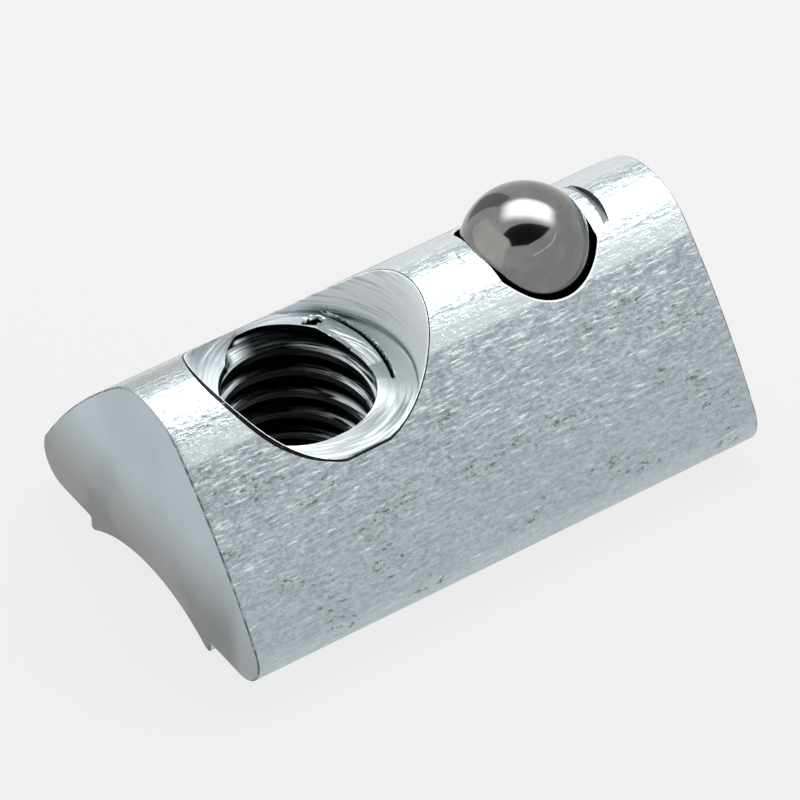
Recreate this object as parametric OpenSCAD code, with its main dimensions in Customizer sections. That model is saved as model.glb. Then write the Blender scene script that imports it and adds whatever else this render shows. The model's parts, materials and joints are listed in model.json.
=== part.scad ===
// Roll-in nut for a T-slot rail: a half-round steel bar with a threaded hole in a
// recessed seat, and a sprung ball that holds it anywhere along the slot.
// The nut lies on its neck. X runs along the slot, Y across it and Z up through the screw.
// The origin is on the neck's underside, at the middle of the length and of the width.

/* [Body] */
// Length along the slot
body_length = 26.4; // [25:0.2:30]
// Width across the two wing tips
body_width = 16.7; // [16.4:0.1:18]
// Height from the neck's underside to the ridge
body_height = 10.95; // [10.7:0.05:11.5]
// Radius of the rounded ridge
ridge_radius = 3.6; // [3.2:0.1:4]
// Radius of the gently bulged flanks
flank_radius = 33.5; // [29:0.5:48]
// Radius of the rounded wing tips
tip_radius = 1.45; // [1.2:0.05:1.6]

/* [Neck] */
// Width of the neck that stands in the slot's mouth
neck_width = 9.25; // [8.8:0.05:9.8]
// Step from the neck's underside up to the clamping faces of the wings
neck_step = 0.6; // [0.4:0.1:1]
// Flat land on each side of the groove in the neck
neck_land = 0.3; // [0.2:0.05:0.5]
// Depth of the round groove along the neck
groove_depth = 1.35; // [1:0.05:1.5]

/* [Screw hole] */
// Nominal diameter of the screw thread
thread_diameter = 8; // [6:1:8]
// Pitch of the screw thread
thread_pitch = 1.25; // [1:0.25:1.25]
// Distance from the near end to the middle of the hole
hole_from_end = 7.7; // [7.2:0.1:8.4]
// Distance from the middle of the hole to the middle of the seat, towards the ball
seat_offset = 0.45; // [0:0.05:0.5]
// Diameter of the recessed seat at its floor
seat_diameter = 9.5; // [9:0.1:9.6]
// Depth of the seat's floor below the ridge
seat_depth = 3.25; // [3:0.05:3.6]
// Lean of the seat's wall, in degrees from upright
seat_lean = 11; // [5:1:14]
// Height above the neck's underside up to which the hole's lower edge is countersunk
countersink_height = 0.85; // [0.7:0.05:1]

/* [Detent ball] */
// Diameter of the ball
ball_diameter = 5.8; // [5.5:0.1:6.1]
// Distance from the far end to the middle of the ball
ball_from_end = 6.8; // [6.2:0.1:7.2]
// Height of the released ball above the ridge
ball_rise = 1.8; // [1.6:0.05:2]
// Gap between the ball and the wall of its pocket
pocket_gap = 0.2; // [0.1:0.01:0.24]
// Depth of the pocket's straight wall below the ridge
pocket_depth = 7.4; // [7.2:0.05:7.6]
// Angle of the drilled point at the pocket's bottom
drill_point_angle = 140; // [130:5:150]
// Gap between the released ball and the staked lip
lip_gap = 0.01; // [0.01:0.01:0.03]
// Height of the lip's edge below the ridge
lip_edge_drop = 0.08; // [0.05:0.01:0.14]
// Height of the rim that the staking leans inwards
lip_height = 0.4; // [0.3:0.01:0.5]
// Width of the metal between the pocket and the staking mark
stake_rim = 0.36; // [0.3:0.02:0.5]
// Width of the staking mark
stake_width = 0.26; // [0.18:0.01:0.36]
// Depth of the staking mark below the ridge
stake_depth = 0.24; // [0.12:0.01:0.3]
// Lean of the staking mark's inner wall, in degrees from upright
stake_lean = 26; // [15:1:35]

/* [Spring] */
// Diameter of the spring's wire
wire_diameter = 0.4; // [0.3:0.05:0.5]
// Mean diameter of the spring's coil
coil_diameter = 4.6; // [4.2:0.1:4.8]
// Number of open turns between the closed ends
open_turns = 3; // [2:1:3]
// Gap from the spring to the ball and to the pocket's bottom
spring_gap = 0.01; // [0.01:0.01:0.03]

/* [Hidden] */
$fn = 96;

// Room that a cut takes past the surface that it opens
past = 1;

// Places along X and Z
hole_x = hole_from_end - body_length / 2;
seat_x = hole_x + seat_offset;
ball_x = body_length / 2 - ball_from_end;
seat_floor_z = body_height - seat_depth;
ball_radius = ball_diameter / 2;
ball_z = body_height + ball_rise - ball_radius;

// Outline of the section: ridge, flank and tip are arcs that run smoothly into each other
ridge_centre = [0, body_height - ridge_radius];
tip_centre = [body_width / 2 - tip_radius, neck_step + tip_radius];
flank_centre = circle_meeting(ridge_centre, flank_radius - ridge_radius, tip_centre, flank_radius - tip_radius);
ridge_angle = angle_of(ridge_centre - flank_centre);
flank_angle = angle_of(tip_centre - flank_centre);
ridge_end = ridge_centre + ridge_radius * direction(ridge_angle);
flank_end = tip_centre + tip_radius * direction(flank_angle);
// Amount by which the ridge and the tips stand out, so that their arcs cross the flanks cleanly
arc_overlap = 0.002;

// Groove along the neck, as a chord and its rise
groove_half = neck_width / 2 - neck_land;
groove_radius = (groove_half * groove_half + groove_depth * groove_depth) / (2 * groove_depth);

// Thread, whose wall is drawn at its minor diameter
minor_radius = (thread_diameter - thread_pitch) / 2;
seat_radius = seat_diameter / 2;

// Ball pocket and the lip that holds the ball in
pocket_radius = ball_radius + pocket_gap;
pocket_floor_z = body_height - pocket_depth;
drill_point_slope = 90 - drill_point_angle / 2;
lip_edge_z = body_height - lip_edge_drop;
lip_radius = sqrt(pow(ball_radius, 2) - pow(lip_edge_z - ball_z, 2)) + lip_gap;
stake_inner = pocket_radius + stake_rim;

// Spring, from the drilled point to the underside of the released ball
wire_radius = wire_diameter / 2;
coil_radius = coil_diameter / 2;
spring_foot_z = pocket_floor_z - (pocket_radius - coil_radius) * tan(drill_point_slope)
    + wire_radius / cos(drill_point_slope) + spring_gap;
spring_head_z = ball_z - sqrt(pow(ball_radius + wire_radius + spring_gap, 2) - pow(coil_radius, 2));
closed_gap = 0.02;
closed_pitch = wire_diameter + closed_gap;
total_turns = open_turns + 2;
open_pitch = (spring_head_z - spring_foot_z - 2 * closed_pitch) / open_turns;
steps_per_turn = 24;
wire_sides = 10;

// Angle of a line in the section, in degrees from straight up towards +Y
function angle_of(line) = atan2(line[0], line[1]);

// Direction of such an angle, one long
function direction(angle) = [sin(angle), cos(angle)];

// Point of the section on the other side of its middle
function mirrored(point) = [-point[0], point[1]];

// Point that lies at one distance from a first centre and at another from a second, below and inside both
function circle_meeting(first, first_distance, second, second_distance) =
    let (
        span = norm(second - first),
        along = (second - first) / span,
        reach = (pow(first_distance, 2) - pow(second_distance, 2) + span * span) / (2 * span),
        aside = sqrt(pow(first_distance, 2) - reach * reach)
    )
    first + reach * along + aside * [along[1], -along[0]];

// Height of the spring's wire after a number of turns: closed at both ends and open between
function wire_height(turns) =
    spring_foot_z
    + closed_pitch * min(turns, 1)
    + open_pitch * max(0, min(turns - 1, open_turns))
    + closed_pitch * max(0, turns - 1 - open_turns);

// Runs a flat outline, Y across and Z up, along the slot for a length that is centred on the origin
module along_slot(length) {
    translate([-length / 2, 0, 0])
        rotate([90, 0, 90])
            linear_extrude(height = length)
                children();
}

// Round rod along the slot, through a point of the section
module rod(centre, radius) {
    along_slot(body_length)
        translate(centre)
            circle(r = radius + arc_overlap);
}

// Outline between the two bulged flanks, with the clamping faces and the neck's sides below
module flanks_and_neck() {
    right_side = [
        ridge_end,
        ridge_end + past * direction(ridge_angle),
        flank_end + past * direction(flank_angle),
        tip_centre,
        tip_centre - [0, tip_radius],
        [neck_width / 2, neck_step],
        [neck_width / 2, 0]
    ];
    left_side = [for (i = [len(right_side) - 1:-1:0]) mirrored(right_side[i])];
    intersection() {
        polygon(concat(right_side, left_side));
        translate(flank_centre)
            circle(r = flank_radius);
        translate(mirrored(flank_centre))
            circle(r = flank_radius);
    }
}

// The bar's section run along the slot: rods make the ridge and the wing tips round
module bar() {
    difference() {
        union() {
            rod(ridge_centre, ridge_radius);
            rod(tip_centre, tip_radius);
            rod(mirrored(tip_centre), tip_radius);
            along_slot(body_length)
                flanks_and_neck();
        }
        along_slot(body_length + 2 * past)
            translate([0, groove_depth - groove_radius])
                circle(r = groove_radius);
    }
}

// Hole for the screw, drawn at the thread's minor diameter, with the seat that it opens into.
// The countersink from below only breaks the edge on the groove's two slopes.
module screw_hole() {
    seat_top_radius = seat_radius + (seat_depth + past) * tan(seat_lean);
    countersink_depth = countersink_height + past;
    translate([hole_x, 0, -past])
        cylinder(h = body_height + past, r = minor_radius);
    translate([seat_x, 0, seat_floor_z])
        cylinder(h = seat_depth + past, r1 = seat_radius, r2 = seat_top_radius);
    translate([hole_x, 0, -past])
        cylinder(h = countersink_depth, r1 = minor_radius + countersink_depth, r2 = minor_radius);
}

// Blind pocket of the ball, with a drilled point and a lip that leans over the ball at the ridge
module ball_pocket() {
    point_z = pocket_floor_z - pocket_radius * tan(drill_point_slope);
    translate([ball_x, 0, 0])
        rotate_extrude()
            polygon([
                [0, point_z],
                [pocket_radius, pocket_floor_z],
                [pocket_radius, lip_edge_z - lip_height],
                [lip_radius, lip_edge_z],
                [lip_radius, body_height + past],
                [0, body_height + past]
            ]);
}

// Mark of the ring punch that closed the lip: it only reaches the metal near the ridge
module staking_mark() {
    mark_z = body_height - stake_depth;
    stake_outer = stake_inner + stake_width;
    translate([ball_x, 0, 0])
        rotate_extrude()
            polygon([
                [stake_inner, mark_z],
                [stake_outer, mark_z],
                [stake_outer, body_height + past],
                [stake_inner - (stake_depth + past) * tan(stake_lean), body_height + past]
            ]);
}

// Bar cut to length, bored and staked
module nut_body() {
    color([0.74, 0.76, 0.78])
        difference() {
            bar();
            screw_hole();
            ball_pocket();
            staking_mark();
        }
}

// Hardened ball, where its spring holds it up against the lip
module detent_ball() {
    color([0.45, 0.46, 0.47])
        translate([ball_x, 0, ball_z])
            sphere(r = ball_radius);
}

// Coil spring under the ball, as a round wire swept along its helix
module ball_spring() {
    rings = total_turns * steps_per_turn;
    points = [
        for (i = [0:rings], j = [0:wire_sides - 1])
            let (
                turn = i / steps_per_turn,
                round_wire = 360 * j / wire_sides,
                reach = coil_radius + wire_radius * cos(round_wire)
            )
            [reach * cos(360 * turn), reach * sin(360 * turn), wire_height(turn) + wire_radius * sin(round_wire)]
    ];
    skin = [
        for (i = [0:rings - 1], j = [0:wire_sides - 1])
            let (
                a = i * wire_sides + j,
                b = i * wire_sides + (j + 1) % wire_sides
            )
            each [[a, b, b + wire_sides], [a, b + wire_sides, a + wire_sides]]
    ];
    first_end = [[for (j = [wire_sides - 1:-1:0]) j]];
    last_end = [[for (j = [0:wire_sides - 1]) rings * wire_sides + j]];
    color([0.6, 0.62, 0.64])
        translate([ball_x, 0, 0])
            polyhedron(points = points, faces = concat(skin, first_end, last_end), convexity = 10);
}

nut_body();
detent_ball();
ball_spring();
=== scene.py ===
# %% [markdown]
# # A roll-in nut for a T-slot rail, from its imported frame
#
# The real object is a half-round steel bar, 26 mm long. It drops into the slot of a
# machine-building rail, and a quarter turn locks its two wings under the slot's lips.
# A screw comes up through the threaded hole. A sprung ball, held in a blind pocket by a lip
# that was punched over it, presses the nut against the slot so that it stays where it is put.
# The frame fixes every size. This script adds what a lens this close would see: the turns of
# the thread, broken edges, the marks of each tool, and the finish of the plating.

# %% Load the frame
import json
import bmesh
import bpy
import numpy as np
from mathutils import Matrix, Vector

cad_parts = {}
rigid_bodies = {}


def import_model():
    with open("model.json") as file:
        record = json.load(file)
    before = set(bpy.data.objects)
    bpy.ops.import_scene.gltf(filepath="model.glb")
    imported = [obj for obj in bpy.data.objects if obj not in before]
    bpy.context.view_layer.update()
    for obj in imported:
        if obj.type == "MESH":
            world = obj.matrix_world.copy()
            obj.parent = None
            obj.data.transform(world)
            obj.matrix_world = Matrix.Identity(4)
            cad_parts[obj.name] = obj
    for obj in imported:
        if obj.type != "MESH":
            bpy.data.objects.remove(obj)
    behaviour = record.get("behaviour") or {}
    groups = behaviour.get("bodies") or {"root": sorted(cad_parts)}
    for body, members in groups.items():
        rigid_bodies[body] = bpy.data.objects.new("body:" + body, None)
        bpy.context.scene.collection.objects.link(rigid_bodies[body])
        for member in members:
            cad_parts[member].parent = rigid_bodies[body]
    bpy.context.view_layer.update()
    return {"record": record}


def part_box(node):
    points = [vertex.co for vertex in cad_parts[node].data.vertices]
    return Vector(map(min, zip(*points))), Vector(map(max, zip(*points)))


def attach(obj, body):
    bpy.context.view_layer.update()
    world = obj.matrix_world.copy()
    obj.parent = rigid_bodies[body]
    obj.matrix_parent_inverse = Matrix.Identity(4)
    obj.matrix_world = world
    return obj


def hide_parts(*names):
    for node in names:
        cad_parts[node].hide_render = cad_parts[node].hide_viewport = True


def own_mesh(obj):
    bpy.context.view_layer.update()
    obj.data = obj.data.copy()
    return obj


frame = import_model()
MM = 0.001

# %% [markdown]
# ## The sizes that the pieces share
#
# Lengths here are in millimetres, because that is how a nut is drawn. What the frame can
# answer is read from it: the length, the ball's place, the spring's room and the screw hole.
# The radii and the depths that a box can't tell are the same ones that the solid was made with.

# %% Sizes of the bar
nut_high = np.array(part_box("nut_body")[1]) / MM
HALF_LENGTH = nut_high[0]
HALF_WIDTH = 8.35
HEIGHT = 10.95
RIDGE_RADIUS = 3.6
FLANK_RADIUS = 33.5
TIP_RADIUS = 1.45
NECK_HALF = 4.625
NECK_STEP = 0.6
GROOVE_HALF = 4.325
GROOVE_DEPTH = 1.35
GROOVE_RADIUS = (GROOVE_HALF ** 2 + GROOVE_DEPTH ** 2) / (2 * GROOVE_DEPTH)
print("half length", round(float(HALF_LENGTH), 2), "groove radius", round(GROOVE_RADIUS, 2))

# %% Sizes of the screw hole and its seat
screw_mount = next(m for m in frame["record"]["mounts"] if m["name"] == "screw_hole")
HOLE_X = screw_mount["pos_m"][0] / MM
MINOR_RADIUS = screw_mount["dims"]["r_mm"]
MAJOR_RADIUS = 4.0
PITCH = 1.25
SEAT_X = HOLE_X + 0.45
SEAT_RADIUS = 4.75
SEAT_FLOOR = 7.7
SEAT_LEAN = np.radians(11)
COUNTERSINK_TOP = 0.85
print("hole at x", round(HOLE_X, 2), "thread from radius", MINOR_RADIUS, "to", MAJOR_RADIUS)

# %% Sizes of the ball, its pocket and the lip
ball_low, ball_high = (np.array(corner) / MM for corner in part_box("detent_ball"))
BALL_RADIUS = 2.9
BALL_CENTRE = (ball_low + ball_high) / 2
BALL_X = BALL_CENTRE[0]
POCKET_RADIUS = 3.1
POCKET_FLOOR = 3.55
DRILL_SLOPE = np.tan(np.radians(20))
LIP_RADIUS = 2.725
LIP_TOP = 10.87
LIP_FOOT = 10.47
STAKE_INNER = 3.46
STAKE_OUTER = 3.72
STAKE_FLOOR = 10.71
STAKE_LEAN = np.tan(np.radians(26))
print("ball centre in mm:", BALL_CENTRE.round(2).tolist())

# %% [markdown]
# ## The section of the bar
#
# The bar is cold drawn through a die, so its whole outline is one section: a round ridge, two
# gently bulged flanks and two round wing tips, each arc running into the next without a
# corner. A bevelled cube or a lathe couldn't give that. The outline is worked out here as
# arcs, and every patch of the skin asks the same two functions for its height.

# %% Arcs that meet smoothly
def arc(centre, radius, start, stop, cells):
    """Points on a circle: the centre plus the radius times (sine, cosine) of angles that
    run evenly from start to stop, in degrees from straight up towards +Y."""
    angle = np.radians(np.linspace(start, stop, cells + 1))
    return np.stack([centre[0] + radius * np.sin(angle), centre[1] + radius * np.cos(angle)], 1)

ridge_centre = np.array([0.0, HEIGHT - RIDGE_RADIUS])
tip_centre = np.array([HALF_WIDTH - TIP_RADIUS, NECK_STEP + TIP_RADIUS])
across = tip_centre - ridge_centre
span = np.hypot(*across)
along = across / span
to_ridge, to_tip = FLANK_RADIUS - RIDGE_RADIUS, FLANK_RADIUS - TIP_RADIUS
reach = (to_ridge ** 2 - to_tip ** 2 + span ** 2) / (2 * span)
aside = np.sqrt(to_ridge ** 2 - reach ** 2)
flank_centre = ridge_centre + reach * along + aside * np.array([along[1], -along[0]])
ridge_angle = np.degrees(np.arctan2(*(ridge_centre - flank_centre)))
flank_angle = np.degrees(np.arctan2(*(tip_centre - flank_centre)))
print("ridge ends at", round(ridge_angle, 1), "degrees, flank at", round(flank_angle, 1))

# %% Height of the skin over a place across the bar
upper_side = np.concatenate([
    arc(ridge_centre, RIDGE_RADIUS, 0, ridge_angle, 400),
    arc(flank_centre, FLANK_RADIUS, ridge_angle, flank_angle, 400)[1:],
    arc(tip_centre, TIP_RADIUS, flank_angle, 85, 100)[1:],
])

def skin_height(y):
    """Height of the rounded top at a place across the bar, read off its three arcs."""
    return np.interp(np.abs(y), upper_side[:, 0], upper_side[:, 1])

def groove_height(y):
    """Height of the neck's groove: a circle whose lowest points are the groove's two edges."""
    return GROOVE_DEPTH - GROOVE_RADIUS + np.sqrt(GROOVE_RADIUS ** 2 - np.asarray(y) ** 2)

print("skin at y 0, 2, 4, 6:", skin_height(np.array([0, 2, 4, 6])).round(2).tolist())

# %% [markdown]
# ## How the body is put together
#
# The body could be a bar with holes cut by Boolean modifiers, but a Boolean leaves slivers
# round each rim, just where a lens this close looks for a clean broken edge. So the skin is
# laid out the way a tailor would: long strips that run the whole length, and two windows on
# top and one below, in which the mesh lines run from a straight frame to a round rim. From
# the rim they go on down the wall, so the rim, the seat, the thread and the groove below are
# one unbroken sheet. All patches share their border points, which are merged at the end.

# %% Places along and across the bar
EDGE = 0.07
SEAT_WINDOW = 6.2
BALL_WINDOW = 5.2
HOLE_WINDOW = 4.8
WINDOW_SIDE = 5.6
GROOVE_SIDE = 4.1
RING = 240
stations = [
    (-HALF_LENGTH + EDGE, SEAT_X - SEAT_WINDOW, 9),
    (SEAT_X - SEAT_WINDOW, HOLE_X - HOLE_WINDOW, 6),
    (HOLE_X - HOLE_WINDOW, HOLE_X + HOLE_WINDOW, 46),
    (HOLE_X + HOLE_WINDOW, SEAT_X + SEAT_WINDOW, 8),
    (SEAT_X + SEAT_WINDOW, BALL_X + BALL_WINDOW, 50),
    (BALL_X + BALL_WINDOW, HALF_LENGTH - EDGE, 8),
]
places = [np.linspace(start, stop, cells + 1) for start, stop, cells in stations]

def end_to_end(first, last):
    """The places of several stretches in a row, without the doubles where they meet."""
    return np.concatenate([places[first]] + [p[1:] for p in places[first + 1:last + 1]])

def even_across(limit, height, cells):
    """Places across the bar from -limit to limit, evenly spaced along the curve over them."""
    fine = np.linspace(-limit, limit, 4001)
    walked = np.concatenate([[0], np.cumsum(np.hypot(np.diff(fine), np.diff(height(fine))))])
    return np.interp(np.linspace(0, walked[-1], cells + 1), walked, fine)

all_xs, seat_xs, hole_xs, ball_xs = end_to_end(0, 5), end_to_end(1, 3), places[2], places[4]
top_ys = even_across(WINDOW_SIDE, skin_height, RING // 2 - len(seat_xs) + 1)
groove_ys = even_across(GROOVE_SIDE, groove_height, RING // 2 - len(hole_xs) + 1)
print(len(all_xs), "places along;", len(top_ys), "across the top;",
      len(groove_ys), "across the groove")

# %% The rest of the outline, from the top window down to the groove
def bezier(start, corner, stop, t):
    """A curve from start to stop that the corner pulls towards itself: the sum of start times
    (1 - t) squared, corner times 2 t (1 - t) and stop times t squared."""
    return (1 - t) ** 2 * start + 2 * t * (1 - t) * corner + t ** 2 * stop

def rounded(corner, before, after, radius, cells):
    """A corner turned into a small curve, which starts and stops at the given distance from
    the corner, on the lines to the points before and after it."""
    corner, before, after = (np.array(p, float) for p in (corner, before, after))
    start = corner + radius * (before - corner) / np.linalg.norm(before - corner)
    stop = corner + radius * (after - corner) / np.linalg.norm(after - corner)
    return bezier(start, corner, stop, np.linspace(0, 1, cells + 1)[:, None])

window_angle = np.degrees(np.arcsin((WINDOW_SIDE - flank_centre[0]) / FLANK_RADIUS))
groove_edge = GROOVE_HALF - 0.1
groove_point = (groove_edge, groove_height(groove_edge))
wing = np.concatenate([
    arc(flank_centre, FLANK_RADIUS, window_angle, flank_angle, 16),
    arc(tip_centre, TIP_RADIUS, flank_angle, 180, 22)[1:],
    [[6.2, NECK_STEP], [5.4, NECK_STEP]],
    rounded((NECK_HALF, NECK_STEP), (6, NECK_STEP), (NECK_HALF, 0), 0.1, 3),
    rounded((NECK_HALF, 0), (NECK_HALF, 1), (0, 0), 0.12, 4),
    rounded((GROOVE_HALF, 0), (NECK_HALF, 0), groove_point, 0.06, 3),
    [[GROOVE_SIDE, groove_height(GROOVE_SIDE)]],
])
wing[0, 1] = skin_height(WINDOW_SIDE)
print("wing outline:", len(wing), "points, lowest", wing[:, 1].min().round(3))

# %% A sheet of quads, and the list that collects them
sheets = []

def quads_of(points):
    """The faces of a sheet of rows and columns."""
    rows, columns = points.shape[:2]
    corner = np.arange(rows * columns).reshape(rows, columns)
    quads = np.stack([corner[:-1, :-1], corner[:-1, 1:], corner[1:, 1:], corner[1:, :-1]], -1)
    return quads.reshape(-1, 4)

def lay(points, zone, closed=False):
    """Adds a sheet of quads to the body. points is rows by columns by three, in millimetres.
    A closed sheet joins its last column to its first. zone says which tool made the surface,
    for the whole sheet or quad by quad."""
    points = np.asarray(points, float)
    if closed:
        points = np.concatenate([points, points[:, :1]], 1)
    sheets.append((points.reshape(-1, 3), quads_of(points), zone))

def along_bar(xs, outline):
    """The outline carried along the bar: one row of points for each place in xs."""
    xs, outline = np.asarray(xs), np.asarray(outline)
    place = np.repeat(xs[:, None], len(outline), 1)
    return np.stack([place, np.broadcast_to(outline[:, 0], place.shape),
                     np.broadcast_to(outline[:, 1], place.shape)], -1)

top_line = np.stack([top_ys, skin_height(top_ys)], 1)
groove_line = np.stack([groove_ys, groove_height(groove_ys)], 1)
other_wing = wing * [-1, 1]
DRAWN, SAWN, MILLED, TAPPED, DARKENED = range(5)
for xs, outline in ((all_xs, wing), (all_xs, other_wing), (places[0], top_line),
                    (places[5], top_line), (end_to_end(0, 1), groove_line),
                    (end_to_end(3, 5), groove_line)):
    lay(along_bar(xs, outline), DRAWN)
print("strips:", len(sheets), "with", sum(len(s[1]) for s in sheets), "quads")

# %% [markdown]
# ## The two sawn ends
#
# A saw leaves a flat face and a burr, and tumbling rounds that burr to a soft edge a few
# hundredths of a millimetre wide. At this scale the edge is what draws the bright line round
# the end. The outline is pulled in along its own normals while it runs the last bit of the
# length, as a quarter circle, and the flat is one face with many corners.

# %% Rounded end edges and flat ends
def unit(vectors):
    """Each vector divided by its length."""
    return vectors / np.linalg.norm(vectors, axis=1)[:, None]

ring = np.concatenate([top_line, wing[1:], groove_line[::-1][1:], other_wing[::-1][1:-1]])
tangent = unit(unit(np.roll(ring, -1, 0) - ring) + unit(ring - np.roll(ring, 1, 0)))
outward = np.stack([-tangent[:, 1], tangent[:, 0]], 1)
if (outward[0] * ring[0]).sum() < 0:
    outward = -outward
ends = []
for side in (-1, 1):
    rows = []
    for t in np.radians(np.linspace(0, 90, 5)):
        pulled_in = ring - outward * EDGE * (1 - np.cos(t))
        rows.append(along_bar([side * (HALF_LENGTH - EDGE + EDGE * np.sin(t))], pulled_in)[0])
    # The rounded end edge takes the darker edge finish.
    lay(rows, DARKENED, closed=True)
    ends.append(rows[-1])
print("end outline:", len(ring), "points")

# %% [markdown]
# ## The windows
#
# Round each hole the skin has to go from a straight frame to a round rim. The frame's points
# are the ends of the neighbouring strips. The rim's points are evenly spaced round the hole.
# Each pair is joined by a straight line in plan, and the height always comes from the skin's
# own function, so the window lies exactly on the drawn surface.

# %% Frame and rim of a window
def frame_round(xs, ys):
    """The window's frame as plan points, counter-clockwise from the middle of its +X side."""
    sides = [np.stack([np.full(len(ys), xs[-1]), ys], 1),
             np.stack([xs[::-1], np.full(len(xs), ys[-1])], 1),
             np.stack([np.full(len(ys), xs[0]), ys[::-1]], 1),
             np.stack([xs, np.full(len(xs), ys[0])], 1)]
    return np.roll(np.concatenate([side[:-1] for side in sides]), -(len(ys) // 2), 0)

def round_plan(centre_x, radius, angle):
    """Plan points at a radius and an angle round an upright axis on the bar's middle line."""
    return np.stack([centre_x + radius * np.cos(angle), radius * np.sin(angle)], -1)

def lift(plan, height):
    """Plan points with their height added."""
    return np.concatenate([plan, np.broadcast_to(height, plan.shape[:-1])[..., None]], -1)

def onto(height, plan):
    """Plan points lifted onto a surface, whose height goes by the place across the bar."""
    return lift(plan, height(plan[..., 1]))

def window_rows(frame_points, rim_points, height, rows, crowd=1.6):
    """Rows from the frame to the rim: straight lines in plan, closer together near the rim."""
    share = np.linspace(1, 0, rows)[:, None, None] ** crowd
    plan = share * frame_points + (1 - share) * rim_points
    return onto(height, plan)

def bend_rows(start, corner, stop, rows):
    """Rows over a broken edge: a small curve in each column, from start to stop."""
    t = np.linspace(0, 1, rows + 2)[1:-1, None, None]
    return np.concatenate([[start], bezier(start, corner, stop, t), [stop]])

def straight_rows(start, stop, rows):
    """Rows straight from one ring of points to another, both rings included."""
    t = np.linspace(0, 1, rows)[:, None, None]
    return (1 - t) * start + t * stop

seat_frame = frame_round(seat_xs, top_ys)
ball_frame = frame_round(ball_xs, top_ys)
hole_frame = frame_round(hole_xs, groove_ys)
turn = np.linspace(0, 2 * np.pi, RING, endpoint=False)
print("window frames:", len(seat_frame), len(ball_frame), len(hole_frame), "points")

# %% [markdown]
# ## The seat
#
# An end mill with a slightly tapered side sinks the seat until its floor just breaks out
# through both flanks. The rim is where that cone meets the skin, which has no formula, so it
# is found by trying: start from the floor's radius, look up the skin there, take the cone's
# radius at that height, and repeat until nothing moves.

# %% The seat's rim and wall
rim_radius = np.full(RING, SEAT_RADIUS)
for _ in range(40):
    rise = skin_height(rim_radius * np.sin(turn)) - SEAT_FLOOR
    rim_radius = SEAT_RADIUS + rise * np.tan(SEAT_LEAN)
break_out = upper_side[np.argmin(np.abs(upper_side[:, 1] - SEAT_FLOOR)), 0]
open_side = skin_height(rim_radius * np.sin(turn)) < SEAT_FLOOR
rim_radius[open_side] = break_out / np.abs(np.sin(turn[open_side]))
seat_rim = onto(skin_height, round_plan(SEAT_X, rim_radius, turn))
seat_foot = lift(round_plan(SEAT_X, np.minimum(SEAT_RADIUS, rim_radius), turn), SEAT_FLOOR)
wall_height = seat_rim[:, 2] - SEAT_FLOOR
print("seat rim radius", rim_radius.min().round(2), "to", rim_radius.max().round(2),
      "wall up to", wall_height.max().round(2), "break-out at y", round(float(break_out), 2))

# %% Sizes of the thread and of the damage at its mouth
GROOVE_PHASE = 0.943
ROOT_HALF_WIDE = 0.08
MOUTH_EDGE = 0.03
TORN_DEPTH, TORN_LEAN = 0.78, 0.3
TORN_START, TORN_FADE, TORN_STOP, RUN_OUT = 122, 14, 8, 146
UNCUT_MIDDLE, UNCUT_HALF, UNCUT_DEPTH = 162, 42, 0.5
print("torn between", TORN_START, "and", TORN_FADE, "degrees, not cut round", UNCUT_MIDDLE)

# %% The thread's own surface
def ramp(value, low, high):
    """0 up to low, 1 from high on and a straight line between. low may be the larger one."""
    return np.clip((value - low) / (high - low), 0, 1)

def signed_degrees(angle):
    """An angle in degrees, from -180 to 180."""
    return (np.degrees(angle) + 180) % 360 - 180

def thread_radius(angle, height):
    """Radius of the threaded wall: a right-hand groove with 60 degree flanks. Its phase is the
    height less the turned share of a pitch; the radius falls by 1.73 for each step of height
    away from the groove's middle, between the major and the minor radius."""
    phase = height - GROOVE_PHASE - PITCH * angle / (2 * np.pi)
    away = np.abs(phase / PITCH - np.round(phase / PITCH)) * PITCH
    cut = MAJOR_RADIUS - np.sqrt(3) * np.maximum(away - ROOT_HALF_WIDE, 0)
    return np.maximum(cut, MINOR_RADIUS)

def mouth_torn(degrees):
    """Radius to which the mouth is torn: it opens sharply at one angle and closes slowly."""
    open_share = ramp(degrees, TORN_START, 96) * ramp(degrees, TORN_FADE, 80) ** 0.8
    return MINOR_RADIUS + MOUTH_EDGE + TORN_DEPTH * open_share

def bore_radius(angle, height):
    """Radius of the screw hole's wall: the thread or the countersink. Near the shelf the last
    groove is torn open on the ball's side, above the groove's own middle, and on the other side
    the tap did not reach the shelf, so the wall stays at the minor radius there."""
    degrees = signed_degrees(angle)
    height = np.minimum(height, SEAT_FLOOR)
    depth = SEAT_FLOOR - height
    cut = ramp(np.abs(degrees - UNCUT_MIDDLE), UNCUT_HALF, UNCUT_HALF + 14)
    uncut = (1 - cut) * ramp(depth, UNCUT_DEPTH, UNCUT_DEPTH - 0.1)
    thread = MINOR_RADIUS + (thread_radius(angle, height) - MINOR_RADIUS) * (1 - uncut)
    in_tear = (depth < (RUN_OUT - degrees) / 360 * PITCH) & (degrees > TORN_STOP)
    torn = np.where(in_tear, mouth_torn(degrees) - TORN_LEAN * depth, 0)
    countersink = MINOR_RADIUS + (COUNTERSINK_TOP - height)
    return np.maximum(np.maximum(thread, torn), countersink)

tries = np.linspace(MINOR_RADIUS, GROOVE_HALF - 0.02, 400)[:, None]
solid = tries - bore_radius(turn, groove_height(tries * np.sin(turn)))
first_solid = np.minimum(len(tries) - np.argmax(solid[::-1] < 0, 0), len(tries) - 1)
exit_radius = np.where((solid < 0).any(0), tries[first_solid, 0], MINOR_RADIUS)
exit_plan = round_plan(HOLE_X, exit_radius, turn)
exit_rim = onto(groove_height, exit_plan)
print("hole opens into the groove at radius", exit_radius.min().round(2),
      "to", exit_radius.max().round(2))
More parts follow.
